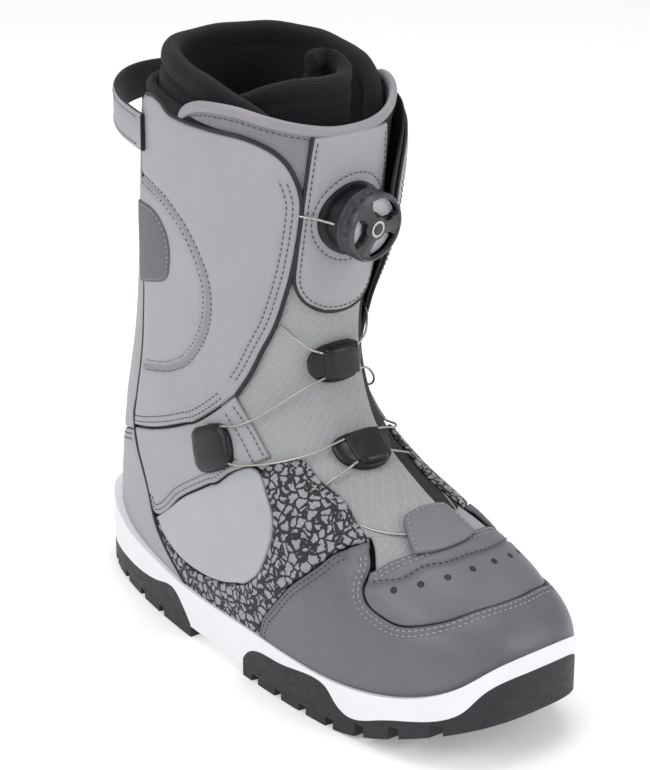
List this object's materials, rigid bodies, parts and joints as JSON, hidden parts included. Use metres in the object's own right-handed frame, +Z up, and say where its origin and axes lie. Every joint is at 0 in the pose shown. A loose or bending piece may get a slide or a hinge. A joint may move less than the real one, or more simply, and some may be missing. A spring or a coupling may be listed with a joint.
{
  "type": "snowboard boot",
  "caption": "Right snowboard boot with a removable-style liner, a wrap cuff, a padded tongue and a dial that tightens a steel lace.",
  "frame": {"origin": "on the ground at the centre of the boot's outline, the flat lugs standing on Z = 0", "axes": "+X towards the toe, +Z up the shaft, -Y the lateral (outer) side of a right boot"},
  "size_m": [0.3018, 0.1068, 0.2912],
  "materials": {
    "black_rubber": "moulded rubber with a fine matt grain",
    "white_foam": "moulded EVA foam, matt",
    "grey_leather": "smooth light grey coated leather",
    "dark_leather": "smooth mid grey coated leather",
    "print_fabric": "black fabric with a grey cracked print",
    "black_fabric": "black woven fabric",
    "knit": "dark ribbed knit",
    "liner_foam": "dark brushed lining over foam",
    "ripstop": "light grey ripstop",
    "board": "pressed fibre board",
    "steel": "sprung steel",
    "gel": "soft gel",
    "lace_steel": "stranded steel lace with a thin clear coat",
    "nylon": "moulded black nylon",
    "knob_plastic": "moulded dark plastic with a soft sheen",
    "patch": "dark grey embossed patch"
  },
  "bodies": {
    "shell": {"outsole_heel": "black_rubber", "outsole_forefoot": "black_rubber", "shank": "steel", "heel_shock_pad": "gel", "midsole": "white_foam", "heel_counter": "grey_leather", "back_stay": "grey_leather", "toe_cap": "dark_leather", "vamp_top": "dark_leather", "toe_tab": "dark_leather", "lasting_board": "board", "liner": "liner_foam", "footbed": "black_fabric", "liner_collar": "knit", "liner_wrap": "liner_foam", "pull_loop": "grey_leather", "cuff_lace_tubes": "nylon", "upper_base_lateral": "black_fabric", "quarter_lateral": "grey_leather", "rear_pad_lateral": "grey_leather", "ankle_panel_lateral": "grey_leather", "side_panel_lateral": "grey_leather", "print_panel_lateral": "print_fabric", "rear_patch_lateral": "patch", "ankle_guide_lateral": "nylon", "gusset_lateral": "black_fabric", "upper_base_medial": "black_fabric", "quarter_medial": "grey_leather", "rear_pad_medial": "grey_leather", "ankle_panel_medial": "grey_leather", "side_panel_medial": "grey_leather", "print_panel_medial": "print_fabric", "rear_patch_medial": "patch", "ankle_guide_medial": "nylon", "gusset_medial": "black_fabric", "lace_dial_spans": "lace_steel", "lace_upper_spans": "lace_steel", "lace_crossing_spans": "lace_steel", "lace_instep_spans": "lace_steel", "lace_lower_spans": "lace_steel", "lace_upper_runs": "lace_steel", "lace_ankle_turns": "lace_steel", "lace_toe_run": "lace_steel"},
    "tongue": {"tongue_core": "ripstop", "tongue_shield": "grey_leather", "tongue_rim": "grey_leather", "tongue_guide_upper": "nylon", "tongue_guide_lower": "nylon", "dial_base": "nylon", "dial_screw": "steel", "lace_spool_ends": "lace_steel", "lace_upper_turns": "lace_steel", "lace_lower_turns": "lace_steel"},
    "dial_drive": {"dial_drive_disc": "nylon"},
    "knob": {"dial_knob": "knob_plastic"},
    "spool": {"dial_spool": "nylon", "lace_winding": "lace_steel"}
  },
  "joints": [
    {"name": "tongue_fold", "type": "hinge", "parent": "shell", "child": "tongue", "pos_m": [0.068, 0, 0.086], "axis": [0, 1, 0], "range_deg": [0, 22], "deforming": ["gusset_lateral", "gusset_medial", "lace_dial_spans", "lace_upper_spans", "lace_crossing_spans", "lace_instep_spans", "lace_lower_spans"]},
    {"name": "dial_turn", "type": "hinge", "parent": "tongue", "child": "dial_drive", "pos_m": [0.02601, 0, 0.2237], "axis": [0.9907, 0.0867, -0.1045], "continuous": true},
    {"name": "knob_pull", "type": "slide", "parent": "dial_drive", "child": "knob", "axis": [0.9907, 0.0867, -0.1045], "range_m": [0, 0.003]},
    {"name": "spool_turn", "type": "hinge", "parent": "tongue", "child": "spool", "pos_m": [0.02601, 0, 0.2237], "axis": [0.9907, 0.0867, -0.1045], "continuous": true}
  ],
  "couplings": [
    {"joint": "spool_turn", "follows": "dial_turn", "ratio": 1}
  ]
}
